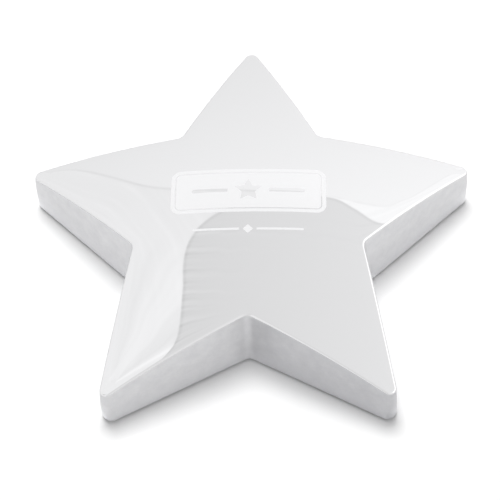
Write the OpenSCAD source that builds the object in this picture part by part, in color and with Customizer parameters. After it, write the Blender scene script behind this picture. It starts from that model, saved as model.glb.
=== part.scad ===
// Five-pointed star award that lies flat: a domed, plated casting with a stack of
// steel weights inside, closed by a screwed cover and a felt pad.
// +X is the width, +Y is the direction of the upper point, +Z is up.
// The origin is on the felt's underside, on the axis of the star.

/* [Star] */
// Width over the two side points, at the rim
star_w = 100; // [85:0.1:125]
// Angle of each point, between its two edges (degrees)
point_angle = 51.8; // [46:0.1:60]
// Height of the middle of the dome above the table
centre_h = 19.8; // [18.5:0.1:26]
// Radius of the domed top
dome_r = 154; // [130:1:400]
// Lean of the side walls, wider at the rim (degrees)
draft = 2.5; // [0:0.5:5]
// Rounding of the five points in plan, in the upper part of the walls
tip_r = 1.6; // [1:0.1:4]
// Blunter rounding of the five points at the rim
rim_tip_r = 2.3; // [1.8:0.1:5]
// Rounding of the five notches in plan
notch_r = 2.4; // [0.6:0.1:4]

/* [Casting] */
// Wall thickness of the casting
wall = 3; // [2.6:0.1:4]
// Width of the lip around the rebate, at the rim
lip_w = 1.4; // [1:0.1:1.8]
// Rounding of the corners inside the casting
core_r = 1.2; // [0.6:0.1:2]
// Distance of the five screw bosses from the axis
boss_at = 27; // [25:0.5:30]
// Diameter of the screw bosses
boss_d = 6; // [5:0.1:7]
// Diameter of the centre boss
centre_boss_d = 9; // [7:0.5:12]

/* [Weights] */
// Thickness of each weight plate
plate_t = 3; // [2:0.1:3.2]
// Gap between the weights and the casting
weight_gap = 0.8; // [0.5:0.1:2]
// Height between the stack and the roof, on the axis
roof_gap = 2.8; // [2:0.1:4]
// Distance of the foam's edge inside the small plate's edge
foam_inset = 1.5; // [1:0.1:3]

/* [Base] */
// Thickness of the cover plate
cover_t = 1.5; // [1:0.1:2]
// Thickness of the adhesive film
film_t = 0.2; // [0.1:0.05:0.4]
// Thickness of the felt pad
felt_t = 1; // [0.8:0.1:2]
// Height of the casting's rim above the table
rim_z = 0.5; // [0.3:0.1:0.7]
// Gap between the rim's lip and the cover
cover_gap = 0.2; // [0.1:0.05:0.4]
// Gap between the rim's lip and the felt
felt_gap = 0.4; // [0.2:0.1:1]

/* [Screws] */
// Thread diameter of the cover screws
screw_d = 3; // [2.5:0.5:3]
// Head diameter of the cover screws
screw_head_d = 5.5; // [5:0.1:6]
// Length of the cover screws
screw_l = 8; // [6:0.5:8]
// Thread diameter of the weight screw
stack_screw_d = 4; // [3:0.5:4]
// Head diameter of the weight screw
stack_head_d = 7.5; // [6:0.1:8]
// How far the weight screw bites into the centre boss
stack_bite = 2.8; // [2:0.1:3]
// How much smaller than its thread each tapped hole is, across the diameter
thread_bite = 0.3; // [0.2:0.05:0.5]
// Radial room around a screw's shank
shank_gap = 0.2; // [0.1:0.05:0.4]
// Room between a weight plate and a boss
boss_gap = 0.5; // [0.3:0.1:1]
// Depth of the cross recess in a screw head
recess_t = 1.1; // [0.8:0.1:1.3]
// Width of the slots of the cross recess
recess_w = 0.8; // [0.5:0.1:1]

/* [Hidden] */
$fn = 64;
dome_fn = 240;
// Straight steps that each rounded point and each rounded notch is drawn with
tip_steps = 12;
notch_steps = 6;
points = 5;
step_a = 360 / points;
half_a = point_angle / 2;
// An outline of radius R has sharp points at R and all its edges at R * edge_k from the axis
edge_k = sin(half_a);
notch_a = half_a + step_a / 2;
// The upright block that blunts the points stands this far outside the walls
blunt_gap = 0.1;
// Sharp radius of that block, whose rounded side points are star_w apart
blunt_R = (star_w / 2 - rim_tip_r) / cos(90 - step_a) + rim_tip_r / edge_k;
// Sharp radius of the leaning walls at the rim
rim_R = blunt_R - blunt_gap / edge_k;
rim_edge = rim_R * edge_k;
core_R = (rim_edge - wall) / edge_k;
rebate_R = (rim_edge - lip_w) / edge_k;
// Corner radius of the rebate and of all that lies in it
rebate_r = 1.5;
plate_r = 2;

// Heights, from the table up
cover_z = felt_t + film_t;
seat_z = cover_z + cover_t;
// Blocks go this far past the dome that cuts them, and holes past the faces they open
over = 1;
dome_z = centre_h - dome_r;
roof_r = dome_r - wall;
roof_z = centre_h - wall;
stack_top = roof_z - roof_gap;
medium_top = stack_top - plate_t;
large_top = medium_top - plate_t;
stack_z = large_top - plate_t;

// Depth of a tapped hole past its screw's tip
hole_spare = 0.5;
screw_tip = cover_z + screw_l;
stack_tip = stack_top + stack_bite;
boss_gap_r = boss_d / 2 + boss_gap;
// Distance of the film's edge inside the felt's edge
film_inset = 0.5;

// Sizes of the three weight plates: the large one by the walls, the medium one by the
// roof, and the small one by whichever of the roof and the bosses comes first
function lean(z) = 1 - tan(draft) * (z - rim_z) / rim_edge;
function roof_at(z) = sqrt(pow(roof_r, 2) - pow(z + weight_gap - dome_z, 2));
function sharp_R(tip) = tip - plate_r + plate_r / edge_k;
wall_R = core_R * lean(large_top) - weight_gap / edge_k;
wall_tip = wall_R + plate_r - plate_r / edge_k;
boss_clear = boss_at - boss_gap_r;
large_R = sharp_R(min(wall_tip, roof_at(large_top)));
medium_R = sharp_R(min(wall_tip, roof_at(medium_top)));
small_R = sharp_R(min(boss_clear, roof_at(stack_top)));
// The foam fills the height that is left over its own points
foam_R = small_R - foam_inset / edge_k;
foam_tip = foam_R + plate_r - plate_r / edge_k;
foam_t = sqrt(pow(roof_r, 2) - pow(foam_tip, 2)) + dome_z - stack_top;

function turn(a, r) = [r * cos(a), r * sin(a)];
// Points of an arc of radius r about c, from angle a to angle b in n steps
function arc(c, r, a, b, n) = [for (k = [0:n]) c + turn(a + (b - a) * k / n, r)];
// The rounded point of the arm that lies along angle a
function tip_arc(R, rt, a) =
  arc(turn(a, R - rt / edge_k), rt, a - 90 + half_a, a + 90 - half_a, tip_steps);
// The rounded notch that lies along angle a; its centre is outside the star
function notch_arc(R, rn, a) =
  arc(turn(a, (R * edge_k + rn) / sin(notch_a)), rn, a + 270 - notch_a, a + 90 + notch_a, notch_steps);

// Repeats its children in each arm, at distance r from the axis
module in_arms(r) {
  for (i = [0:points - 1])
    rotate(90 + i * step_a)
      translate([r, 0])
        children();
}

// A star with sharp radius R, its points rounded by rt and its notches by rn
module star(R, rt, rn) {
  polygon([
    for (i = [0:points - 1])
      each concat(
        tip_arc(R, rt, 90 + i * step_a),
        notch_arc(R, rn, 90 + (i + 0.5) * step_a)
      )
  ]);
}

// Keeps what lies inside a ball of radius r that is concentric with the dome
module under_ball(r) {
  intersection() {
    children();
    translate([0, 0, dome_z])
      sphere(r = r, $fn = dome_fn);
  }
}

// A star block that leans inwards as it rises
module leaning_star(R, rt, rn) {
  translate([0, 0, rim_z])
    linear_extrude(height = centre_h + over - rim_z, scale = lean(centre_h + over))
      star(R, rt, rn);
}

// What lies in the rebate: a star sheet set in by gap from the rebate's edge
module base_sheet(gap, t) {
  linear_extrude(height = t)
    star(rebate_R - gap / edge_k, rebate_r, notch_r);
}

// Solid bosses that grow out of the roof: one in each arm, and one on the axis
module bosses() {
  under_ball(dome_r - wall / 2) {
    in_arms(boss_at)
      translate([0, 0, seat_z])
        cylinder(d = boss_d, h = centre_h + over - seat_z);
    translate([0, 0, stack_top])
      cylinder(d = centre_boss_d, h = centre_h + over - stack_top);
  }
}

// Countersunk screw standing on its head, with a cross recess in the head
module countersunk_screw(d, head_d, l) {
  head_h = (head_d - d) / 2;
  difference() {
    union() {
      cylinder(d1 = head_d, d2 = d, h = head_h);
      cylinder(d = d, h = l);
    }
    for (a = [0, 90])
      rotate(a)
        translate([-head_d / 4, -recess_w / 2, -recess_t])
          cube([head_d / 2, recess_w, 2 * recess_t]);
  }
}

// The hole for such a screw, through a plate of thickness t
module countersunk_hole(d, head_d, t) {
  hole_d = d + 2 * shank_gap;
  cylinder(d1 = head_d, d2 = d, h = (head_d - d) / 2);
  translate([0, 0, -over])
    cylinder(d = hole_d, h = t + 2 * over);
}

// A weight plate whose underside is at height z, with room for the bosses
module weight_plate(R, z, hole_d) {
  translate([0, 0, z])
    difference() {
      linear_extrude(height = plate_t)
        star(R, plate_r, notch_r);
      translate([0, 0, -over])
        cylinder(d = hole_d, h = plate_t + 2 * over);
      translate([0, 0, -over])
        in_arms(boss_at)
          cylinder(r = boss_gap_r, h = plate_t + 2 * over);
    }
}

// Cored casting: thin walls and roof, a rebate at the rim, tapped bosses
module star_shell() {
  color([0.88, 0.89, 0.9])
    difference() {
      union() {
        difference() {
          under_ball(dome_r)
            intersection() {
              leaning_star(rim_R, tip_r, notch_r);
              linear_extrude(height = centre_h + 2 * over)
                star(blunt_R, rim_tip_r, notch_r);
            }
          under_ball(roof_r)
            leaning_star(core_R, core_r, notch_r + wall);
        }
        bosses();
      }
      base_sheet(0, seat_z);
      in_arms(boss_at)
        translate([0, 0, seat_z - over])
          cylinder(d = screw_d - thread_bite, h = screw_tip + hole_spare - seat_z + over);
      translate([0, 0, stack_top - over])
        cylinder(d = stack_screw_d - thread_bite, h = stack_bite + hole_spare + over);
    }
}

// Foam sheet that the roof presses on the stack, around the centre boss
module foam_pad() {
  color([0.25, 0.25, 0.27])
    translate([0, 0, stack_top])
      linear_extrude(height = foam_t)
        difference() {
          star(foam_R, plate_r, notch_r);
          circle(d = centre_boss_d + 2 * boss_gap);
        }
}

module weight_small() {
  color([0.6, 0.62, 0.65])
    weight_plate(small_R, medium_top, stack_screw_d + 2 * shank_gap);
}

module weight_medium() {
  color([0.55, 0.57, 0.6])
    weight_plate(medium_R, large_top, stack_screw_d + 2 * shank_gap);
}

module weight_large() {
  color([0.5, 0.52, 0.55])
    difference() {
      weight_plate(large_R, stack_z, stack_screw_d + 2 * shank_gap);
      translate([0, 0, stack_z])
        countersunk_hole(stack_screw_d, stack_head_d, plate_t);
    }
}

module weight_screw() {
  color([0.75, 0.76, 0.78])
    translate([0, 0, stack_z])
      countersunk_screw(stack_screw_d, stack_head_d, stack_tip - stack_z);
}

module base_cover() {
  color([0.7, 0.72, 0.75])
    translate([0, 0, cover_z])
      difference() {
        base_sheet(cover_gap, cover_t);
        in_arms(boss_at)
          countersunk_hole(screw_d, screw_head_d, cover_t);
      }
}

module cover_screws() {
  color([0.8, 0.81, 0.83])
    translate([0, 0, cover_z])
      in_arms(boss_at)
        countersunk_screw(screw_d, screw_head_d, screw_l);
}

module adhesive_film() {
  color([0.9, 0.9, 0.85])
    translate([0, 0, felt_t])
      base_sheet(felt_gap + film_inset, film_t);
}

module base_felt() {
  color([0.13, 0.13, 0.14])
    base_sheet(felt_gap, felt_t);
}

star_shell();
foam_pad();
weight_small();
weight_medium();
weight_large();
weight_screw();
base_cover();
cover_screws();
adhesive_film();
base_felt();
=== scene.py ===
import math
import bpy
import numpy as np
from mathutils import Matrix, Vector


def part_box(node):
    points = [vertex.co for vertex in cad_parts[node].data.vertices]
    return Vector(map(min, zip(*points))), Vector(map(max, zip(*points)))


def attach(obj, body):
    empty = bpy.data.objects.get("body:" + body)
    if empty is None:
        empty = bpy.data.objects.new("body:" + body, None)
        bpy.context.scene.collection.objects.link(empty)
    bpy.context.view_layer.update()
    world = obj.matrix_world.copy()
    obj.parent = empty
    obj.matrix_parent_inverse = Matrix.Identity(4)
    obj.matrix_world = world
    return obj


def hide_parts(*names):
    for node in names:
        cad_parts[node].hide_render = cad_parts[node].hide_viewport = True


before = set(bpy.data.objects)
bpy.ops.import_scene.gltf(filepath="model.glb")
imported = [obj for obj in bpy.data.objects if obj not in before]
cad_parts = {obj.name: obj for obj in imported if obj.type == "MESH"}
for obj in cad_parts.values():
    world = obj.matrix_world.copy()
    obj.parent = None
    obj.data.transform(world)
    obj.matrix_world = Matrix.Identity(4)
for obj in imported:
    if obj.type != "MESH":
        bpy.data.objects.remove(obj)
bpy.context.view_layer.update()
mm = 0.001

# What every star outline of this award shares. Lengths are in millimetres.
starShape = {
    "points": 5,
    "pointAngle": 51.8,  # degrees, between the two edges of a point
    "tipRadius": 1.6,
    "notchRadius": 2.4,
    "tipSteps": 15,
    "edgeSteps": 44,
    "notchSteps": 9,
}
armStep = 360 / starShape["points"]
halfAngle = math.radians(starShape["pointAngle"] / 2)
notchAngle = halfAngle + math.radians(armStep / 2)
edgeShare = math.sin(halfAngle)  # an edge's distance from the axis, over the sharp radius

shellLow, shellHigh = (np.array(corner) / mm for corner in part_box("star_shell"))
feltLow, feltHigh = (np.array(corner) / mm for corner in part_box("base_felt"))
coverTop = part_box("base_cover")[1][2] / mm
foamLow, foamHigh = (np.array(corner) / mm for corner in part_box("foam_pad"))


def sharpRadius(width, tipRadius):
    # The radius of the sharp star whose two rounded side points are this far apart
    side = math.radians(90 - armStep)
    return (width / 2 - tipRadius) / math.cos(side) + tipRadius / edgeShare


def direction(angle):
    # Unit vectors at these angles, from +X
    return np.stack([np.cos(angle), np.sin(angle)], -1)


def starOutline(radius, tipRadius, notchRadius):
    # Arcs about a centre on each arm's axis, arcs about a centre outside each notch,
    # and straight edges between their ends, closer together near the arcs.
    # Returns points and outward directions.
    steps = starShape
    arm = np.radians(90 + armStep * np.arange(steps["points"]))[:, None]
    notch = arm + math.radians(armStep / 2)
    quarter = math.pi / 2
    tipTurn = arm + np.linspace(halfAngle - quarter, quarter - halfAngle, steps["tipSteps"])
    notchTurn = np.linspace(quarter - notchAngle, notchAngle - quarter, steps["notchSteps"])
    notchTurn = notch + math.pi + notchTurn
    tips = direction(arm) * (radius - tipRadius / edgeShare) + direction(tipTurn) * tipRadius
    notches = direction(notch) * (radius * edgeShare + notchRadius) / math.sin(notchAngle)
    notches = notches + direction(notchTurn) * notchRadius
    share = np.linspace(0, 1, steps["edgeSteps"] + 2)[1:-1, None]
    share = 0.5 - 0.5 * np.cos(math.pi * share)
    falling = tips[:, -1:] * (1 - share) + notches[:, :1] * share
    rising = notches[:, -1:] * (1 - share) + np.roll(tips, -1, axis=0)[:, :1] * share
    ones = np.ones((steps["points"], steps["edgeSteps"], 1))
    points = np.concatenate([tips, falling, notches, rising], axis=1)
    outward = np.concatenate([
        direction(tipTurn),
        ones * direction(tipTurn[:, -1:]),
        -direction(notchTurn),
        ones * -direction(notchTurn[:, -1:]),
    ], axis=1)
    return points.reshape(-1, 2), outward.reshape(-1, 2)


def ring(points, height):
    # One closed row of a surface: plan points with a height for each
    return np.column_stack([points, np.broadcast_to(height, len(points))])


def between(first, last, shares):
    # Rows that go straight from one row to another, at the given shares of the way
    return [first * (1 - s) + last * s for s in shares]


def closedSurface(rows, firstPole, lastPole):
    # Rows of equal length joined by quads, and each end closed by a fan to its pole
    count = len(rows[0])
    points = np.vstack([firstPole, *rows, lastPole])
    near = np.arange(count)
    far = np.roll(near, -1)
    starts = 1 + count * np.arange(len(rows) - 1)[:, None]
    quads = np.stack([starts + near, starts + count + near, starts + count + far, starts + far], -1)
    top = np.stack([np.zeros(count, int), 1 + near, 1 + far], -1)
    base = 1 + count * (len(rows) - 1)
    bottom = np.stack([base + near, np.full(count, len(points) - 1), base + far], -1)
    return points, [quads.reshape(-1, 4), top, bottom]


def makePiece(name, parts):
    # One mesh object in metres from parts of (points, lists of faces, material index)
    mesh = bpy.data.meshes.new(name)
    allPoints = np.vstack([points for points, faces, slot in parts]) * mm
    corners, sizes, slots, offset = [], [], [], 0
    for points, faces, slot in parts:
        for block in faces:
            corners.append((block + offset).ravel())
            sizes.append(np.full(len(block), block.shape[1]))
            slots.append(np.full(len(block), slot))
        offset += len(points)
    corners, sizes, slots = (np.concatenate(part).astype(np.int32) for part in (corners, sizes, slots))
    mesh.vertices.add(len(allPoints))
    mesh.vertices.foreach_set("co", allPoints.astype(np.float32).ravel())
    mesh.loops.add(len(corners))
    mesh.loops.foreach_set("vertex_index", corners)
    mesh.polygons.add(len(sizes))
    mesh.polygons.foreach_set("loop_start", np.concatenate([[0], np.cumsum(sizes)[:-1]]).astype(np.int32))
    mesh.polygons.foreach_set("loop_total", sizes)
    mesh.polygons.foreach_set("material_index", slots)
    mesh.polygons.foreach_set("use_smooth", np.ones(len(sizes), bool))
    mesh.update(calc_edges=True)
    mesh.validate()
    piece = bpy.data.objects.new(name, mesh)
    bpy.context.collection.objects.link(piece)
    return piece


def smooth(low, high, value):
    # Rises from 0 at low to 1 at high, level at both ends
    t = np.clip((value - low) / (high - low), 0, 1)
    return t * t * (3 - 2 * t)


def linear(code):
    # An sRGB hex colour as linear light, with full alpha
    parts = [int(code[i:i + 2], 16) / 255 for i in (1, 3, 5)]
    return [p / 12.92 if p <= 0.04045 else ((p + 0.055) / 1.055) ** 2.4 for p in parts] + [1]


def node(tree, kind, settings={}, links={}):
    # Adds a node; settings name its inputs or its own options, links feed its inputs
    made = tree.nodes.new("ShaderNode" + kind)
    for name, value in settings.items():
        if isinstance(name, str) and hasattr(made, name):
            setattr(made, name, value)
        else:
            made.inputs[name].default_value = value
    for name, source in links.items():
        tree.links.new(source, made.inputs[name])
    return made


def newMaterial(name, settings):
    # A material whose Principled shader has these settings
    material = bpy.data.materials.new(name)
    material.use_nodes = True
    tree = material.node_tree
    shader = tree.nodes["Principled BSDF"]
    for key, value in settings.items():
        shader.inputs[key].default_value = value
    return material, tree, shader


def dress(name, material):
    # Gives a CAD node's object this material in all its slots
    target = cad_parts[name]
    for slot in target.material_slots:
        slot.material = material
    if not target.material_slots:
        target.data.materials.append(material)


casting = {
    "lean": 2.5,  # degrees, the walls' draft
    "domeRadius": 154.0,
    "edgeRadius": 0.65,  # the polished top edge
    "rimTipRadius": 2.3,  # the points are blunter at the rim than at the top
    "bluntGap": 0.1,  # how far the block that blunts them stands outside the walls
    "bluntBlend": 0.05,  # how softly that block's cut begins
    "rollDepth": 0.08,  # how much the buffing has lowered the dome at its edge
    "rollWidth": 1.0,  # how far in from the edge that fades
    "rimRound": 0.3,
    "lipWidth": 1.4,
    "wall": 3.0,
    "coreRadius": 1.2,
    "rebateRadius": 1.5,
    "bossAt": 27.0,
    "bossDiameter": 6.0,
    "bossHole": 2.7,
    "bossHoleTop": 9.7,
    "bossChamfer": 0.2,
    "centreBossDiameter": 9.0,
    "centreBossLow": 14.0,
    "centreHole": 3.7,
    "centreHoleTop": 17.1,
    "domeRows": 54,
    "edgeRows": 12,
    "wallRows": 22,
    "rimRows": 5,
    "settleSteps": 12,  # rounds of finding where a leaning wall meets a ball
}
print("making the star casting")

rimZ = shellLow[2]
topZ = shellHigh[2]
seatZ = coverTop
leanTan = math.tan(math.radians(casting["lean"]))
bluntSharp = sharpRadius(shellHigh[0] - shellLow[0], casting["rimTipRadius"])
rimSharp = bluntSharp - casting["bluntGap"] / edgeShare
rimEdge = rimSharp * edgeShare
domeCentre = topZ - casting["domeRadius"]
rimPoints, rimOutward = starOutline(rimSharp, starShape["tipRadius"], starShape["notchRadius"])


def leanAt(height):
    # The outline's scale at a height, so that every straight wall has the same draft
    return 1 - leanTan * (height - rimZ) / rimEdge


def blunted(plan):
    # Points outside the upright blunt star move inwards: how far they stand out of the
    # nearest arm's tip arc or edges, as a soft ramp, is the distance they move
    radius, blend = casting["rimTipRadius"], casting["bluntBlend"]
    step = math.radians(armStep)
    arm = math.pi / 2 + step * np.round((np.arctan2(plan[:, 1], plan[:, 0]) - math.pi / 2) / step)
    along = np.stack([np.cos(arm), np.sin(arm)], -1)
    across = np.stack([-np.sin(arm), np.cos(arm)], -1)
    forward = (plan * along).sum(-1) - (bluntSharp - radius / edgeShare)
    aside = (plan * across).sum(-1)
    turn = np.minimum(np.arctan2(np.abs(aside), forward), math.pi / 2 - halfAngle)
    outside = forward * np.cos(turn) + np.abs(aside) * np.sin(turn) - radius
    move = (blend * np.logaddexp(0, outside / blend))[:, None]
    side = np.where(aside < 0, -1, 1)
    return plan - move * (along * np.cos(turn)[:, None] + across * (np.sin(turn) * side)[:, None])


def wallOutline(height):
    # The walls' outline at a height: the leaning star with its points blunted
    return blunted(rimPoints * (leanAt(height) * np.ones(len(rimPoints)))[:, None])


def ballHeight(plan, radius):
    # Height of a ball of this radius about the dome's centre, over plan points
    return domeCentre + np.sqrt(radius ** 2 - (plan ** 2).sum(-1))


def edgeDistance(plan, outline, blend=0.45):
    # Smallest distance to the closed outline, with a soft minimum over its straight edges
    tipEnd, notchEnd = starShape["tipSteps"] - 1, starShape["tipSteps"] + starShape["edgeSteps"]
    arms = outline.reshape(starShape["points"], -1, 2)
    starts = np.concatenate([arms[:, tipEnd], arms[:, notchEnd + starShape["notchSteps"] - 1]])
    ends = np.concatenate([arms[:, notchEnd], np.roll(arms, -1, axis=0)[:, 0]])
    total = np.zeros(plan.shape[:-1])
    for start, end in zip(starts, ends):
        along = end - start
        share = np.clip(((plan - start) @ along) / (along @ along), 0, 1)
        gap = np.linalg.norm(plan - start - share[..., None] * along, axis=-1)
        total = total + np.exp(-gap / blend)
    return -blend * np.log(total)


def starCastingParts():
    # One surface from the top's middle, over the edge, down the wall, round the rim,
    # up the rebate and the core, to the roof's middle
    c = casting
    # the sharp corner between dome and wall, found by stepping the height to rest
    height = np.full(len(rimPoints), topZ)
    for step in range(c["settleSteps"]):
        corner = rimPoints * leanAt(height)[:, None]
        height = ballHeight(corner, c["domeRadius"]) - c["rollDepth"]
    slope = (corner * rimOutward).sum(-1) / np.sqrt(c["domeRadius"] ** 2 - (corner ** 2).sum(-1))
    tilt = np.arctan(slope + c["rollDepth"] / c["rollWidth"])
    fall = math.pi / 2 - math.radians(c["lean"])
    reach = c["edgeRadius"] * np.tan((fall - tilt) / 2)
    arcIn = reach * np.cos(tilt) + c["edgeRadius"] * np.sin(tilt)
    arcUp = height + reach * np.sin(tilt) - c["edgeRadius"] * np.cos(tilt)

    edgeRowsMade = []
    for share in np.linspace(0, 1, c["edgeRows"]):
        turn = tilt + (fall - tilt) * share
        inset = arcIn - c["edgeRadius"] * np.sin(turn)
        rise = c["edgeRadius"] * np.cos(turn)
        edgeRowsMade.append(ring(corner - inset[:, None] * rimOutward, arcUp + rise))

    shares = np.linspace(0, 1, c["domeRows"] + 2)[1:-1]
    shares = 1 - (1 - shares) ** 1.6
    plan = edgeRowsMade[0][None, :, :2] * shares[:, None, None]
    gap = edgeDistance(plan, corner)
    gapEnd = edgeDistance(edgeRowsMade[0][:, :2], corner)
    roll = c["rollDepth"] * np.exp(-np.clip(gap, 0, None) / c["rollWidth"])
    lift = ballHeight(plan, c["domeRadius"]) - roll
    edgeMiss = edgeRowsMade[0][:, 2] - (
        ballHeight(edgeRowsMade[0][:, :2], c["domeRadius"])
        - c["rollDepth"] * np.exp(-np.clip(gapEnd, 0, None) / c["rollWidth"])
    )
    lift = lift + edgeMiss * np.exp(-np.clip(gap - gapEnd, 0, None) / c["rollWidth"])
    domeRowsMade = [ring(plan[i], lift[i]) for i in range(len(shares))]
    apex = np.array([[0, 0, topZ - c["rollDepth"] * math.exp(-rimEdge / c["rollWidth"])]])

    wallTop = edgeRowsMade[-1]
    turnLow = np.linspace(0, math.pi / 2, c["rimRows"])
    wallFoot = ring(wallOutline(rimZ + c["rimRound"]), rimZ + c["rimRound"])
    wallRowsMade = []
    for share in np.linspace(0, 1, c["wallRows"] + 2)[1:-1]:
        z = wallTop[:, 2] * (1 - share) + wallFoot[:, 2] * share
        wallRowsMade.append(ring(wallOutline(z), z))
    run = np.roll(wallFoot[:, :2], -1, axis=0) - np.roll(wallFoot[:, :2], 1, axis=0)
    footOutward = np.column_stack([run[:, 1], -run[:, 0]]) / np.linalg.norm(run, axis=1)[:, None]
    rimRowsMade = [
        ring(
            wallFoot[:, :2] - footOutward * c["rimRound"] * (1 - math.cos(turn)),
            rimZ + c["rimRound"] * (1 - math.sin(turn)),
        )
        for turn in turnLow
    ]

    rebateSharp = (rimEdge - c["lipWidth"]) / edgeShare
    rebate, _ = starOutline(rebateSharp, c["rebateRadius"], starShape["notchRadius"])
    coreSharp = (rimEdge - c["wall"]) / edgeShare
    core, _ = starOutline(coreSharp, c["coreRadius"], starShape["notchRadius"] + c["wall"])
    lip = ring(rebate, rimZ)
    ledgeOut = ring(rebate, seatZ)
    ledgeIn = ring(core * leanAt(seatZ), seatZ)
    roofRadius = c["domeRadius"] - c["wall"]
    height = np.full(len(core), topZ)
    for step in range(c["settleSteps"]):
        roofEdge = core * leanAt(height)[:, None]
        height = ballHeight(roofEdge, roofRadius)
    coreTop = ring(roofEdge, height)
    rows = domeRowsMade + edgeRowsMade + wallRowsMade + rimRowsMade
    rows += between(rimRowsMade[-1], lip, (0.5, 0.96, 1.0))
    rows += between(lip, ledgeOut, (0.04, 0.5, 0.96, 1.0))
    rows += between(ledgeOut, ledgeIn, (0.06, 0.94, 1.0))
    rows += between(ledgeIn, coreTop, (0.04, 0.35, 0.65, 0.96, 1.0))
    for share in (0.98, 0.85, 0.7, 0.5, 0.3, 0.12):
        rows.append(ring(roofEdge * share, ballHeight(roofEdge * share, roofRadius)))
    roofMiddle = np.array([[0, 0, domeCentre + roofRadius]])
    points, faces = closedSurface(rows, apex, roofMiddle)

    # faces from the rebate inwards are the rough, unpolished back of the casting
    outerRows = len(domeRowsMade + edgeRowsMade + wallRowsMade + rimRowsMade) + 2
    cut = outerRows * len(rimPoints)
    quads, top, bottom = faces
    return [
        (points, [quads[:cut], top], 0),
        (points[:0], [quads[cut:] - len(points), bottom - len(points)], 1),
    ]


def turnedPost(x, y, profile, steps=32):
    # A profile of (radius, height) pairs turned about an upright axis; both ends are poles
    turn = np.linspace(0, 2 * math.pi, steps, endpoint=False)
    rows = [
        np.column_stack([x + r * np.cos(turn), y + r * np.sin(turn), np.full(steps, z)])
        for r, z in profile[1:-1]
    ]
    return closedSurface(rows, np.array([[x, y, profile[0][1]]]), np.array([[x, y, profile[-1][1]]]))


def bossParts():
    # Screw bosses as turned posts with a blind hole, one in each arm and one on the axis
    c = casting
    made = []
    arms = np.radians(90 + armStep * np.arange(starShape["points"]))
    spots = [(c["bossAt"] * math.cos(a), c["bossAt"] * math.sin(a)) for a in arms]
    for x, y in spots + [(0.0, 0.0)]:
        centre = x == 0 and y == 0
        outer = (c["centreBossDiameter"] if centre else c["bossDiameter"]) / 2
        hole = (c["centreHole"] if centre else c["bossHole"]) / 2
        low = c["centreBossLow"] if centre else seatZ
        holeTop = c["centreHoleTop"] if centre else c["bossHoleTop"]
        roof = domeCentre + math.sqrt((c["domeRadius"] - c["wall"] / 2) ** 2 - x * x - y * y)
        cut = c["bossChamfer"]
        profile = [
            (0, roof), (outer, roof), (outer, low + cut), (outer - cut, low),
            (hole + cut, low), (hole, low + cut), (hole, holeTop), (0, holeTop),
        ]
        points, faces = turnedPost(x, y, profile)
        made.append((points, faces, 1))
    return made


def castingRowKinds():
    # How satin each row of the casting's outside is: 0 on the dome, 1 on the walls
    c = casting
    turn = smooth(0.35, 1, np.linspace(0, 1, c["edgeRows"]))
    return np.concatenate([np.zeros(c["domeRows"]), turn, np.ones(c["wallRows"] + c["rimRows"])])


starCasting = makePiece("starCasting", starCastingParts() + bossParts())
satin = np.ones(len(starCasting.data.vertices), np.float32)
satin[0] = 0
rowKinds = np.repeat(castingRowKinds(), len(rimPoints))
satin[1:1 + len(rowKinds)] = rowKinds
starCasting.data.attributes.new("satin", "FLOAT", "POINT").data.foreach_set("value", satin)
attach(starCasting, "root")
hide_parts("star_shell")


felt = {
    "cornerRadius": 1.5,
    "edgeRound": 0.22,
    "edgeWander": 0.09,  # how far the die-cut edge strays, always inwards
    "nap": 0.03,  # height of the fibres' relief on the underside
    "seed": 4,
    "rows": 26,
    "edgeSteps": 5,
}
print("making the felt")


def wander(count, waves, seed):
    # A smooth closed wave from 0 to 1 around an outline: sines of whole turns, seeded
    random = np.random.default_rng(seed)
    turn = np.linspace(0, 2 * math.pi, count, endpoint=False)
    total = np.zeros(count)
    for number in waves:
        total += np.sin(number * turn + random.uniform(0, 2 * math.pi)) / len(waves)
    return (total - total.min()) / (total.max() - total.min())


def feltParts():
    # A star sheet with softly rounded, slightly straying edges and a napped underside
    f = felt
    width = feltHigh[0] - feltLow[0]
    sharp = sharpRadius(width, f["cornerRadius"])
    outline, outward = starOutline(sharp, f["cornerRadius"], starShape["notchRadius"])
    stray = f["edgeWander"] * wander(len(outline), (61, 97, 143, 211, 307), f["seed"])
    outline = outline - outward * stray[:, None]
    low, high = feltLow[2], feltHigh[2]
    shares = np.linspace(0, 1, f["rows"] + 1)[1:]
    inner = outline - outward * f["edgeRound"]
    rows = [ring(inner * s, high) for s in shares]
    turns = np.linspace(0, math.pi / 2, f["edgeSteps"])
    for turn in turns[1:]:
        drop = f["edgeRound"] * (1 - math.cos(turn))
        rows.append(ring(inner + outward * f["edgeRound"] * math.sin(turn), high - drop))
    for turn in turns[::-1]:
        drop = f["edgeRound"] * (1 - math.cos(turn))
        rows.append(ring(inner + outward * f["edgeRound"] * math.sin(turn), low + drop))
    random = np.random.default_rng(f["seed"] + 1)
    for s in shares[::-1][1:]:
        rows.append(ring(inner * s, low + f["nap"] * s * random.random(len(inner))))
    return closedSurface(rows, np.array([[0, 0, high]]), np.array([[0, 0, low]]))


feltPoints, feltFaces = feltParts()
feltPad = makePiece("feltPad", [(feltPoints, feltFaces, 0)])
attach(feltPad, "root")
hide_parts("base_felt")


foam = {
    "cornerRadius": 2.0,
    "hole": 5.0,
    "bulge": 0.18,  # how far the squeezed edge stands out
    "edgeSteps": 9,
    "faceSteps": 12,
}
print("making the foam")


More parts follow.
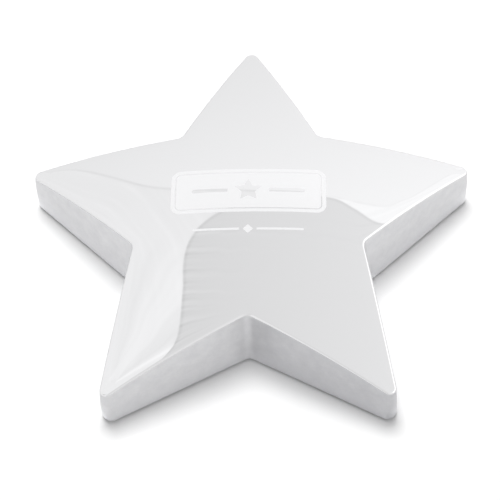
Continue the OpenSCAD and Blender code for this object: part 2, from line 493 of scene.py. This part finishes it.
def foamParts():
    # A band that closes on itself: bulged outer edge, top, edge of the hole, underside
    f = foam
    width = foamHigh[0] - foamLow[0]
    sharp = sharpRadius(width, f["cornerRadius"])
    outline, outward = starOutline(sharp, f["cornerRadius"], starShape["notchRadius"])
    outline = outline - outward * f["bulge"]
    angle = np.arctan2(outline[:, 1], outline[:, 0])
    hole = f["hole"] * np.stack([np.cos(angle), np.sin(angle)], -1)
    middle, half = (foamHigh[2] + foamLow[2]) / 2, (foamHigh[2] - foamLow[2]) / 2
    rows = []
    for turn in np.linspace(-math.pi / 2, math.pi / 2, f["edgeSteps"]):
        rows.append(ring(outline + outward * f["bulge"] * math.cos(turn), middle + half * math.sin(turn)))
    for s in np.linspace(0, 1, f["faceSteps"])[1:-1]:
        rows.append(ring(outline * (1 - s) + hole * s, foamHigh[2]))
    for turn in np.linspace(math.pi / 2, -math.pi / 2, f["edgeSteps"]):
        rows.append(ring(hole * (1 + 0.02 * math.cos(turn)), middle + half * math.sin(turn)))
    for s in np.linspace(1, 0, f["faceSteps"])[1:-1]:
        rows.append(ring(outline * (1 - s) + hole * s, foamLow[2]))
    count, total = len(outline), len(rows)
    near = np.arange(count)
    far = np.roll(near, -1)
    starts = count * np.arange(total)[:, None]
    nexts = count * ((np.arange(total) + 1) % total)[:, None]
    quads = np.stack([starts + near, starts + far, nexts + far, nexts + near], -1)
    return np.vstack(rows), [quads.reshape(-1, 4)]


foamPoints, foamFaces = foamParts()
foamPad = makePiece("foamPad", [(foamPoints, foamFaces, 0)])
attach(foamPad, "root")
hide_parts("foam_pad")


print("making the materials")
perMetre = 1 / mm

etching = {
    # A blank nameplate: millimetres on the dome, across and up from the axis
    "middle": (0.0, 4.6, 0.0),
    "half": (17.2, 6.0, 0.0),
    "corner": 2.2,
    "keyline": 1.0,  # a fine polished line this far inside the panel's edge
    "keylineHalf": 0.14,
    "ornament": 3.1,  # radius of the polished star in its middle
    "bars": ((0.0, 4.6, 0.0), (12.6, 0.5, 0.0)),  # two polished rules beside the star
    "barGap": 4.6,
    "rule": ((0.0, -5.9, 0.0), (12.2, 0.28, 0.0)),  # a frosted rule under the panel
    "gem": 1.15,  # and the lozenge in its middle
    "gemGap": 1.9,
    "frost": 0.45,  # roughness of the frosted metal
}


def planPoint(tree, place, middle):
    # The position in plan, from a given middle
    flat = node(tree, "VectorMath", {"operation": "MULTIPLY", 1: (1, 1, 0)}, {0: place})
    shift = {"operation": "SUBTRACT", 1: [v * mm for v in middle]}
    return node(tree, "VectorMath", shift, {0: flat.outputs[0]}).outputs[0]


def roundedBox(tree, point, half, corner):
    # Distance from a rounded rectangle's edge, below zero inside it
    folded = node(tree, "VectorMath", {"operation": "ABSOLUTE"}, {0: point})
    inner = [(half[0] - corner) * mm, (half[1] - corner) * mm, 0]
    past = node(tree, "VectorMath", {"operation": "SUBTRACT", 1: inner}, {0: folded.outputs[0]})
    kept = node(tree, "VectorMath", {"operation": "MAXIMUM", 1: (0, 0, 0)}, {0: past.outputs[0]})
    length = node(tree, "VectorMath", {"operation": "LENGTH"}, {0: kept.outputs[0]})
    shrink = {"operation": "SUBTRACT", 1: corner * mm}
    return node(tree, "Math", shrink, {0: length.outputs["Value"]}).outputs[0]


def smallStar(tree, point, radius):
    # Distance from the nearest edge line of a sharp five-pointed star, below zero inside:
    # fold the angle into half a point, then measure along that edge's own direction
    parts = node(tree, "SeparateXYZ", {}, {0: point})
    turn = node(tree, "Math", {"operation": "ARCTAN2"}, {0: parts.outputs[0], 1: parts.outputs[1]})
    wave = node(tree, "Math", {"operation": "PINGPONG", 1: math.radians(armStep / 2)}, {0: turn.outputs[0]})
    reach = node(tree, "VectorMath", {"operation": "LENGTH"}, {0: point}).outputs["Value"]
    spun = node(tree, "Math", {"operation": "SUBTRACT", 1: math.pi / 2 - halfAngle}, {0: wave.outputs[0]})
    share = node(tree, "Math", {"operation": "COSINE"}, {0: spun.outputs[0]})
    along = node(tree, "Math", {"operation": "MULTIPLY"}, {0: share.outputs[0], 1: reach})
    shrink = {"operation": "SUBTRACT", 1: radius * edgeShare * mm}
    return node(tree, "Math", shrink, {0: along.outputs[0]}).outputs[0]


def band(tree, value, low, high):
    # Falls from 1 to 0 as the value goes from low to high
    return node(tree, "MapRange", {
        "interpolation_type": "SMOOTHSTEP", "From Min": low, "From Max": high,
        "To Min": 1.0, "To Max": 0.0,
    }, {"Value": value}).outputs["Result"]


def inside(tree, distance):
    # 1 inside a shape and 0 outside, soft over a tenth of a millimetre
    return band(tree, distance, -0.05 * mm, 0.05 * mm)


def without(tree, first, second):
    # The first mask where the second is clear
    return node(tree, "Math", {"operation": "SUBTRACT", "use_clamp": True}, {0: first, 1: second}).outputs[0]


def etchedMask(tree, place):
    # 1 where the laser has frosted the chrome: the nameplate, and the rule under it
    e = etching
    point = planPoint(tree, place, e["middle"])
    away = roundedBox(tree, point, e["half"], e["corner"])
    lineGap = node(tree, "Math", {"operation": "ADD", 1: e["keyline"] * mm}, {0: away}).outputs[0]
    lineGap = node(tree, "Math", {"operation": "ABSOLUTE"}, {0: lineGap}).outputs[0]
    line = band(tree, lineGap, (e["keylineHalf"] - 0.05) * mm, (e["keylineHalf"] + 0.05) * mm)
    plate = without(tree, inside(tree, away), line)
    plate = without(tree, plate, inside(tree, smallStar(tree, point, e["ornament"])))
    middle, half = e["bars"]
    bars = inside(tree, roundedBox(tree, planPoint(tree, place, middle), half, half[1]))
    near = inside(tree, roundedBox(tree, point, (e["barGap"], e["barGap"], 0), 0.1))
    plate = without(tree, plate, without(tree, bars, near))
    middle, half = e["rule"]
    below = planPoint(tree, place, middle)
    rule = inside(tree, roundedBox(tree, below, half, half[1]))
    gap = roundedBox(tree, below, (e["gemGap"], e["gemGap"], 0), 0.1)
    rule = without(tree, rule, inside(tree, gap))
    eighth = {"rotation_type": "Z_AXIS", "Angle": math.pi / 4}
    spun = node(tree, "VectorRotate", eighth, {"Vector": below})
    gem = inside(tree, roundedBox(tree, spun.outputs[0], (e["gem"] * 0.7, e["gem"] * 0.7, 0), 0.1))
    total = node(tree, "Math", {"operation": "ADD"}, {0: plate, 1: rule}).outputs[0]
    return node(tree, "Math", {"operation": "ADD", "use_clamp": True}, {0: total, 1: gem}).outputs[0]


def paintedLightAndShade(tree, place, wall):
    # A tone correction, not a known finish: painted light that makes the walls brighter near the rim, against
    # the table's shadow reflected there, and painted shade that makes the front right part of the star duller
    x, y, z = node(tree, "SeparateXYZ", {}, {0: place}).outputs
    # painted light: the wall's colour brightens towards the rim
    paintedRimLight = node(tree, "MapRange", {"From Min": 8 * mm, "From Max": 0.5 * mm}, {"Value": z})
    paintedRimLight = node(tree, "Math", {"operation": "POWER", 1: 2.0}, {0: paintedRimLight.outputs[0]})
    wall = node(tree, "Mix", {"data_type": "RGBA", 7: linear("#E8E8EA")},
                {0: paintedRimLight.outputs[0], 6: wall}).outputs[2]
    # painted shade: the walls' colour darkens in the front right part of the star
    side = node(tree, "MapRange", {"From Min": -1 * mm, "From Max": 4 * mm}, {"Value": x})
    front = node(tree, "MapRange", {"From Min": -14 * mm, "From Max": -20 * mm}, {"Value": y})
    paintedShade = node(tree, "Math", {"operation": "MULTIPLY"}, {0: side.outputs[0], 1: front.outputs[0]})
    return node(tree, "Mix", {"data_type": "RGBA", "blend_type": "MULTIPLY", 7: linear("#ECECED")},
                {0: paintedShade.outputs[0], 6: wall}).outputs[2]


def platedChrome():
    # Polished nickel and chrome over cast zinc: a near mirror with a faint polishing haze,
    # satin, slightly mottled walls, and a laser-frosted nameplate that scatters the light
    material, tree, shader = newMaterial("platedChrome", {"Metallic": 1.0})
    place = node(tree, "TexCoord").outputs["Object"]
    haze = node(tree, "TexNoise", {"Scale": perMetre / 9, "Detail": 4.0}, {"Vector": place})
    grit = node(tree, "TexNoise", {"Scale": perMetre / 0.5, "Detail": 3.0}, {"Vector": place})
    patch = node(tree, "TexNoise", {"Scale": perMetre / 2.6, "Detail": 6.0, "Roughness": 0.62},
                 {"Vector": place})
    satinShare = node(tree, "Attribute", {"attribute_name": "satin"}).outputs["Fac"]
    top = node(tree, "Math", {"operation": "SUBTRACT", 0: 1.0}, {1: satinShare}).outputs[0]
    frosted = node(tree, "Math", {"operation": "MULTIPLY"}, {0: etchedMask(tree, place), 1: top}).outputs[0]
    polished = node(tree, "MapRange", {"To Min": 0.015, "To Max": 0.05}, {"Value": haze.outputs["Fac"]})
    brushed = node(tree, "MapRange", {"To Min": 0.36, "To Max": 0.58}, {"Value": grit.outputs["Fac"]})
    base = node(tree, "Mix", {"data_type": "FLOAT"},
                {0: satinShare, 2: polished.outputs[0], 3: brushed.outputs[0]}).outputs[0]
    rough = node(tree, "Mix", {"data_type": "FLOAT", 3: etching["frost"]}, {0: frosted, 2: base}).outputs[0]
    tree.links.new(rough, shader.inputs["Roughness"])
    blotch = node(tree, "MapRange", {"From Min": 0.3, "From Max": 0.7}, {"Value": patch.outputs["Fac"]})
    wall = node(tree, "Mix", {"data_type": "RGBA", 6: linear("#CBCBCD"), 7: linear("#D5D5D6")},
                {0: blotch.outputs[0]}).outputs[2]
    # painted light near the rim and painted shade at the front right of the walls
    wall = paintedLightAndShade(tree, place, wall)
    skin = node(tree, "Mix", {"data_type": "RGBA", 6: linear("#CFCFD0")}, {0: satinShare, 7: wall}).outputs[2]
    skin = node(tree, "Mix", {"data_type": "RGBA", 7: linear("#DDDDDE")}, {0: frosted, 6: skin}).outputs[2]
    tree.links.new(skin, shader.inputs["Base Color"])
    ripple = node(tree, "TexNoise", {"Scale": perMetre / 11, "Detail": 2.0}, {"Vector": place})
    wave = node(tree, "Bump", {"Strength": 0.08, "Distance": 0.1 * mm}, {"Height": ripple.outputs["Fac"]})
    tree.links.new(wave.outputs[0], shader.inputs["Normal"])
    return material


def castBack():
    # Thin plating over the as-cast skin inside: dull and slightly pebbled
    material, tree, shader = newMaterial("castBack", {
        "Base Color": linear("#8F9092"), "Metallic": 1.0, "Roughness": 0.5,
    })
    place = node(tree, "TexCoord").outputs["Object"]
    pebble = node(tree, "TexNoise", {"Scale": perMetre / 0.9, "Detail": 4.0}, {"Vector": place})
    relief = node(tree, "Bump", {"Strength": 0.4, "Distance": 0.08 * mm}, {"Height": pebble.outputs["Fac"]})
    tree.links.new(relief.outputs[0], shader.inputs["Normal"])
    return material


def mottledMetal(name, dark, light, grain, low, high):
    # A plated or rolled steel face: two tones in blotches, and roughness that follows them
    material, tree, shader = newMaterial(name, {"Metallic": 1.0})
    place = node(tree, "TexCoord").outputs["Object"]
    blotch = node(tree, "TexNoise", {"Scale": perMetre / grain, "Detail": 6.0}, {"Vector": place})
    tone = node(tree, "Mix", {"data_type": "RGBA", 6: linear(dark), 7: linear(light)},
                {0: blotch.outputs["Fac"]})
    rough = node(tree, "MapRange", {"To Min": low, "To Max": high}, {"Value": blotch.outputs["Fac"]})
    tree.links.new(tone.outputs[2], shader.inputs["Base Color"])
    tree.links.new(rough.outputs[0], shader.inputs["Roughness"])
    relief = node(tree, "Bump", {"Strength": 0.15, "Distance": 0.03 * mm}, {"Height": blotch.outputs["Fac"]})
    tree.links.new(relief.outputs[0], shader.inputs["Normal"])
    return material


def pressedFelt():
    # Pressed wool felt: matted fibres, a soft sheen and no direction
    material, tree, shader = newMaterial("pressedFelt", {
        "Roughness": 0.95, "Sheen Weight": 0.35, "Sheen Roughness": 0.5, "Specular IOR Level": 0.15,
    })
    place = node(tree, "TexCoord").outputs["Object"]
    matted = node(tree, "TexNoise", {"Scale": perMetre / 0.7, "Detail": 8.0, "Roughness": 0.75},
                  {"Vector": place})
    strand = node(tree, "TexVoronoi", {"Scale": perMetre / 0.45, "feature": "DISTANCE_TO_EDGE"},
                  {"Vector": place})
    tone = node(tree, "Mix", {"data_type": "RGBA", 6: linear("#0E0E10"), 7: linear("#2C2C30")},
                {0: matted.outputs["Fac"]})
    tree.links.new(tone.outputs[2], shader.inputs["Base Color"])
    nap = node(tree, "Math", {"operation": "ADD"}, {0: matted.outputs["Fac"], 1: strand.outputs["Distance"]})
    relief = node(tree, "Bump", {"Strength": 0.7, "Distance": 0.12 * mm}, {"Height": nap.outputs[0]})
    tree.links.new(relief.outputs[0], shader.inputs["Normal"])
    return material


def closedCellFoam():
    # Cut closed-cell foam: fine dimples between thin cell walls
    material, tree, shader = newMaterial("closedCellFoam", {
        "Base Color": linear("#232427"), "Roughness": 0.85, "Specular IOR Level": 0.3,
    })
    place = node(tree, "TexCoord").outputs["Object"]
    cell = node(tree, "TexVoronoi", {"Scale": perMetre / 0.4}, {"Vector": place})
    relief = node(tree, "Bump", {"Strength": 0.6, "Distance": 0.15 * mm},
                  {"Height": cell.outputs["Distance"]})
    tree.links.new(relief.outputs[0], shader.inputs["Normal"])
    return material


def adhesiveFilm():
    # Double-sided tape: a pale, slightly tacky film with faint smears
    material, tree, shader = newMaterial("adhesiveFilm", {"Specular IOR Level": 0.5})
    place = node(tree, "TexCoord").outputs["Object"]
    smear = node(tree, "TexNoise", {"Scale": perMetre / 6, "Detail": 3.0}, {"Vector": place})
    tone = node(tree, "Mix", {"data_type": "RGBA", 6: linear("#CFCBB9"), 7: linear("#E2DFD2")},
                {0: smear.outputs["Fac"]})
    rough = node(tree, "MapRange", {"To Min": 0.25, "To Max": 0.5}, {"Value": smear.outputs["Fac"]})
    tree.links.new(tone.outputs[2], shader.inputs["Base Color"])
    tree.links.new(rough.outputs[0], shader.inputs["Roughness"])
    return material


starCasting.data.materials.append(platedChrome())
starCasting.data.materials.append(castBack())
feltPad.data.materials.append(pressedFelt())
foamPad.data.materials.append(closedCellFoam())
rolledSteel = mottledMetal("rolledSteel", "#3C3E42", "#5E6064", 3.0, 0.38, 0.62)
zincPlate = mottledMetal("zincPlate", "#A4A7AB", "#C3C5C8", 1.6, 0.22, 0.4)
for name in ("weight_small", "weight_medium", "weight_large"):
    dress(name, rolledSteel)
for name in ("base_cover", "cover_screws", "weight_screw"):
    dress(name, zincPlate)
dress("adhesive_film", adhesiveFilm())


studio = {
    "elevation": 55.41,  # degrees
    "azimuth": 3.32,  # degrees, towards the right
    "roll": -3.33,  # degrees
    "distance": 376.4,  # millimetres from the origin, as all the lengths below
    "sideStep": -0.23,
    "lift": 1.6,
    "lens": 117.9,
    "tableSize": 6000.0,
    "wallRadius": 2880.0,
    "wallSteps": 96,
    "tentRadius": 1500.0,
    "worldStrength": 0.45,
}
print("setting up the studio")


def makeCamera():
    # Looks at the origin from its azimuth and elevation, then rolls about its own axis
    s = studio
    a, e, roll = (math.radians(s[key]) for key in ("azimuth", "elevation", "roll"))
    back = np.array([math.sin(a) * math.cos(e), -math.cos(a) * math.cos(e), math.sin(e)])
    right = np.array([math.cos(a), math.sin(a), 0])
    up = np.cross(back, right)
    right, up = (
        math.cos(roll) * right + math.sin(roll) * up,
        math.cos(roll) * up - math.sin(roll) * right,
    )
    place = (back * s["distance"] + right * s["sideStep"] + up * s["lift"]) * mm
    data = bpy.data.cameras.new("camera")
    data.lens = s["lens"]
    data.clip_start = 0.01
    data.clip_end = 20
    camera = bpy.data.objects.new("camera", data)
    bpy.context.collection.objects.link(camera)
    matrix = np.eye(4)
    matrix[:3, 0], matrix[:3, 1], matrix[:3, 2], matrix[:3, 3] = right, up, back, place
    camera.matrix_world = Matrix(matrix.tolist())
    bpy.context.scene.camera = camera


def makeTable():
    # A wide flat sheet of matte white board
    half = studio["tableSize"] / 2
    corners = np.array([[-half, -half, 0], [half, -half, 0], [half, half, 0], [-half, half, 0]])
    table = makePiece("table", [(corners, [np.array([[0, 1, 2, 3]])], 0)])
    table.data.materials.append(newMaterial("matteBoard", {
        "Base Color": linear("#F4F4F4"), "Roughness": 0.9, "Specular IOR Level": 0.1,
    })[0])


def seenOnlyBy(piece, ray):
    # Hides a stage piece from every kind of ray but one
    for kind in ("camera", "diffuse", "glossy", "shadow", "transmission"):
        setattr(piece, "visible_" + kind, kind == ray)


def makeBackdrop():
    # A pale round wall behind the table, seen only when looking level; it lights nothing
    steps = studio["wallSteps"]
    foot = studio["wallRadius"] * direction(np.linspace(0, 2 * math.pi, steps, endpoint=False))
    rows = np.vstack([ring(foot, 0), ring(foot, studio["tentRadius"])])
    near = np.arange(steps)
    far = np.roll(near, -1)
    quads = np.stack([far, near, near + steps, far + steps], -1)
    wall = makePiece("backdrop", [(rows, [quads], 0)])
    wall.data.materials.append(newMaterial("paleWall", {
        "Base Color": (0, 0, 0, 1), "Specular IOR Level": 0.0,
        "Emission Color": linear("#F7F7F7"), "Emission Strength": 1.0,
    })[0])
    seenOnlyBy(wall, "camera")


def rounded(points):
    # The same bent line with its corners cut off three times over
    points = np.array(points, float)
    for cutting in range(3):
        first, second = points[:-1], points[1:]
        cut = np.stack([first * 0.75 + second * 0.25, first * 0.25 + second * 0.75], 1).reshape(-1, 2)
        points = np.vstack([points[:1], cut, points[-1:]])
    return points


def fromLine(across, back, points):
    # Signed distance from a rounded line, above zero on the left of its way, and how far
    # along it the nearest point is
    points = rounded(points)
    best = np.full(across.shape, 1e9)
    side, along, done = np.zeros(across.shape), np.zeros(across.shape), 0
    for (x0, y0), (x1, y1) in zip(points[:-1], points[1:]):
        dx, dy = x1 - x0, y1 - y0
        length = math.hypot(dx, dy)
        share = np.clip(((across - x0) * dx + (back - y0) * dy) / length ** 2, 0, 1)
        away = np.hypot(across - x0 - share * dx, back - y0 - share * dy)
        nearer = away < best
        cross = (dx * (back - y0) - dy * (across - x0)) / length
        side = np.where(nearer, np.where(cross < 0, -away, away), side)
        along = np.where(nearer, done + share * length, along)
        best = np.minimum(best, away)
        done += length
    return side, along


def folds(value, waves, seed):
    # A seeded sum of sines, from about -1 to 1
    random = np.random.default_rng(seed)
    total = np.zeros(value.shape)
    for wave in waves:
        total += np.sin(2 * math.pi * value / wave + random.uniform(0, 2 * math.pi)) / len(waves)
    return total


tent = {
    # Panel edges, in degrees from overhead: to the right, and to the back
    "roofEdge": [
        (44, 20), (22, 33.2), (18, 36.2), (14, 38.6), (8, 38.6), (0, 37.6), (-6, 35.5),
        (-10.5, 32.3), (-13, 28.5), (-14.1, 24), (-14.1, 17), (-14.7, 10), (-15.6, 4), (-18, -14),
    ],
    "hem": [
        (-50, 63), (-41, 54.8), (-36, 52.2), (-30, 48.2), (-22, 43), (-17, 41.3), (-10, 40.2),
        (0, 39.6), (12, 39.4), (18, 38.2), (24, 37.7), (26.2, 39.6), (29, 41), (32.5, 45),
        (40, 55), (60, 60),
    ],
    "drape": [
        (-50, 62), (-36, 52), (-28, 46), (-21, 39), (-17, 33), (-15, 25), (-14.6, 18),
        (-15, 10), (-16.4, 2), (-19, -14),
    ],
    "fan": (-29.5, -3.0),  # where the left sheet's folds gather
    "lampAround": (52, 124),  # degrees from the back towards the right
    "lampRise": (3, 50),  # degrees above the table
    "lampGlow": 1.85,
    "lampSoft": 4,  # degrees over which its edge fades
    "screenAround": (256, 300),
    "screenRise": (2, 36),
    "screenGlow": 1.3,
    "screenSoft": 7,
    "doorAround": (233, 249),
    "doorRise": (41, 58),
    "doorGlow": 0.45,
    "doorSoft": 5,
    "count": 301,  # points across and back
    "foot": 92,  # degrees from overhead at which the cloth ends
}


def bump(value, middle, width):
    # 1 at the middle, falling as a bell on both sides
    return np.exp(-((value - middle) / width) ** 2)


def backSheet(across, back):
    # Brighter to the right, dimmer towards the table
    return 1.36 + np.where(across > 0, 0.0031, 0.0022) * across - 0.0035 * (back - 50)


def frontSheets(across, back):
    # The left sheet, whose folds follow its drape and gather at a corner, and a bright gap
    t = tent
    beside, along = fromLine(across, back, t["drape"])
    bend = beside + 0.8 * folds(along, (17, 31), 5)
    pleats = folds(bend, (1.3, 2.1, 3.4, 6.1), 6) * (0.6 + 0.4 * folds(along, (9, 14), 7))
    left = 1.30 + 0.06 * smooth(52, 20, back) + 0.055 * pleats
    x, y = across - t["fan"][0], back - t["fan"][1]
    spread = np.degrees(np.arctan2(y, x))
    rays = folds(spread + 2 * folds(np.hypot(x, y), (11, 19), 11), (5, 8, 13), 12)
    fan = 0.13 * bump(spread, 24, 6) - 0.07 * bump(spread, 38, 7) + 0.05 * bump(spread, 56, 9)
    fan = fan - 0.04 * bump(spread, 74, 6) + 0.03 * rays
    left = left + (fan - 0.03 * pleats) * smooth(32, 20, back)
    gap = 1.53 + 0.03 * folds(back - 0.5 * across, (2.1, 3.3), 10)
    share = smooth(8, 13, across)
    return left * (1 - share) + gap * share


def roofPanel(across, back, edge):
    # Dimmer, brighter to the right, and puckered along its sewn edge
    tilt = 0.45 * smooth(15, 5, back) - 0.06
    fine = folds(back - tilt * (across + 14) + 0.3 * folds(across, (5, 8), 8), (0.9, 1.3, 1.9, 3.1), 9)
    reach = 3.2 + 2 * folds(back, (3.1, 4.7), 13)
    puckers = fine * np.exp(-np.maximum(edge, 0) / reach) * smooth(35, 29, back)
    return 1.15 + 0.0036 * across + 0.17 * puckers


def lampsAndDoor(across, back, glow):
    # A softbox on the right, a screen on the left and a dim flap high at the front left
    turn = np.degrees(np.arctan2(across, back)) % 360
    rise = 90 - np.hypot(across, back)
    for name in ("lamp", "screen", "door"):
        (a0, a1), (r0, r1), edge = (tent[name + part] for part in ("Around", "Rise", "Soft"))
        share = smooth(a0 - edge, a0 + edge, turn) * smooth(a1 + edge, a1 - edge, turn)
        share = share * smooth(r0 - edge, r0 + edge, rise) * smooth(r1 + edge, r1 - edge, rise)
        glow = glow * (1 - share) + tent[name + "Glow"] * share
    return glow


def seamShade(tree, side, middle, width, depth):
    # This deep at the middle of a line beside the edge, fading to nothing over the width
    away = node(tree, "Math", {"operation": "SUBTRACT", 1: middle}, {0: side}).outputs[0]
    away = node(tree, "Math", {"operation": "ABSOLUTE"}, {0: away}).outputs[0]
    share = band(tree, away, 0, width)
    return node(tree, "Math", {"operation": "MULTIPLY", 1: depth}, {0: share}).outputs[0]


def glowingCloth():
    # White cloth lit from outside: three sheets that meet at sewn edges, each edge crisp,
    # with the roof's seam and the hem's shade as thin darker lines
    material = bpy.data.materials.new("glowingCloth")
    material.use_nodes = True
    tree = material.node_tree
    tree.nodes.clear()
    back, front, roof, hem, edge = (
        node(tree, "Attribute", {"attribute_name": name}).outputs["Fac"]
        for name in ("backGlow", "frontGlow", "roofGlow", "hem", "roofEdge")
    )
    overRoof, offRoof = band(tree, edge, 0.15, -0.15), band(tree, edge, -0.15, 0.15)
    beforeHem = band(tree, hem, -0.12, 0.12)
    glow = node(tree, "Mix", {"data_type": "FLOAT"}, {0: beforeHem, 2: back, 3: front}).outputs[0]
    glow = node(tree, "Mix", {"data_type": "FLOAT"}, {0: overRoof, 2: glow, 3: roof}).outputs[0]
    shade = seamShade(tree, hem, -0.25, 0.42, 0.13)
    shade = node(tree, "Math", {"operation": "MULTIPLY"}, {0: shade, 1: offRoof}).outputs[0]
    for line in (shade, seamShade(tree, edge, 0.3, 0.5, 0.1)):
        glow = node(tree, "Math", {"operation": "SUBTRACT"}, {0: glow, 1: line}).outputs[0]
    out = node(tree, "OutputMaterial")
    light = node(tree, "Emission", {"Color": (1, 1, 1, 1)}, {"Strength": glow})
    tree.links.new(light.outputs[0], out.inputs["Surface"])
    return material


def makeTent():
    # A dome of glowing cloth that only reflections see, finer overhead than at its foot
    count, radius, foot = tent["count"], studio["tentRadius"], tent["foot"]
    line = np.linspace(-1, 1, count)
    line = foot * (0.55 * line + 0.45 * line ** 5)
    across, back = (part.ravel() for part in np.meshgrid(line, line))
    reach = np.maximum(np.hypot(across, back), 1e-6)
    fall = np.radians(np.minimum(reach, foot))
    points = radius * np.column_stack([
        np.sin(fall) * across / reach, np.sin(fall) * back / reach, np.cos(fall),
    ])
    near = np.arange(count - 1) + count * np.arange(count - 1)[:, None]
    quads = np.stack([near, near + count, near + count + 1, near + 1], -1).reshape(-1, 4)
    quads = quads[(reach[quads] < foot).any(-1)]
    cloth = makePiece("lightTent", [(points, [quads], 0)])
    hem = fromLine(across, back, tent["hem"])[0]
    roof = fromLine(across, back, tent["roofEdge"])[0]
    values = {
        "backGlow": lampsAndDoor(across, back, backSheet(across, back)),
        "frontGlow": lampsAndDoor(across, back, frontSheets(across, back)),
        "roofGlow": lampsAndDoor(across, back, roofPanel(across, back, roof)),
        "hem": hem,
        "roofEdge": roof,
    }
    for name, value in values.items():
        stored = cloth.data.attributes.new(name, "FLOAT", "POINT")
        stored.data.foreach_set("value", value.astype(np.float32))
    cloth.data.materials.append(glowingCloth())
    seenOnlyBy(cloth, "glossy")


keyLamp = {
    "size": 0.5,  # metres
    "power": 11.4,  # watts
    "azimuth": 192,  # degrees, from the front towards the right
    "elevation": 74,
    "distance": 1.2,
}


def makeKeyLamp():
    # A square soft lamp that faces the origin; reflections don't see it
    data = bpy.data.lights.new("keyLamp", "AREA")
    data.size = keyLamp["size"]
    data.energy = keyLamp["power"]
    lamp = bpy.data.objects.new("keyLamp", data)
    bpy.context.collection.objects.link(lamp)
    a, e = math.radians(keyLamp["azimuth"]), math.radians(keyLamp["elevation"])
    toLamp = (math.sin(a) * math.cos(e), -math.cos(a) * math.cos(e), math.sin(e))
    lamp.location = [keyLamp["distance"] * part for part in toLamp]
    lamp.rotation_euler = (math.pi / 2 - e, 0, a)
    lamp.visible_glossy = False


def makeWorld():
    # An even white surround
    world = bpy.data.worlds.new("world")
    world.use_nodes = True
    background = world.node_tree.nodes["Background"]
    background.inputs["Color"].default_value = (1, 1, 1, 1)
    background.inputs["Strength"].default_value = studio["worldStrength"]
    bpy.context.scene.world = world


makeCamera()
makeTable()
makeBackdrop()
makeTent()
makeKeyLamp()
makeWorld()
bpy.context.scene.view_settings.view_transform = "Standard"
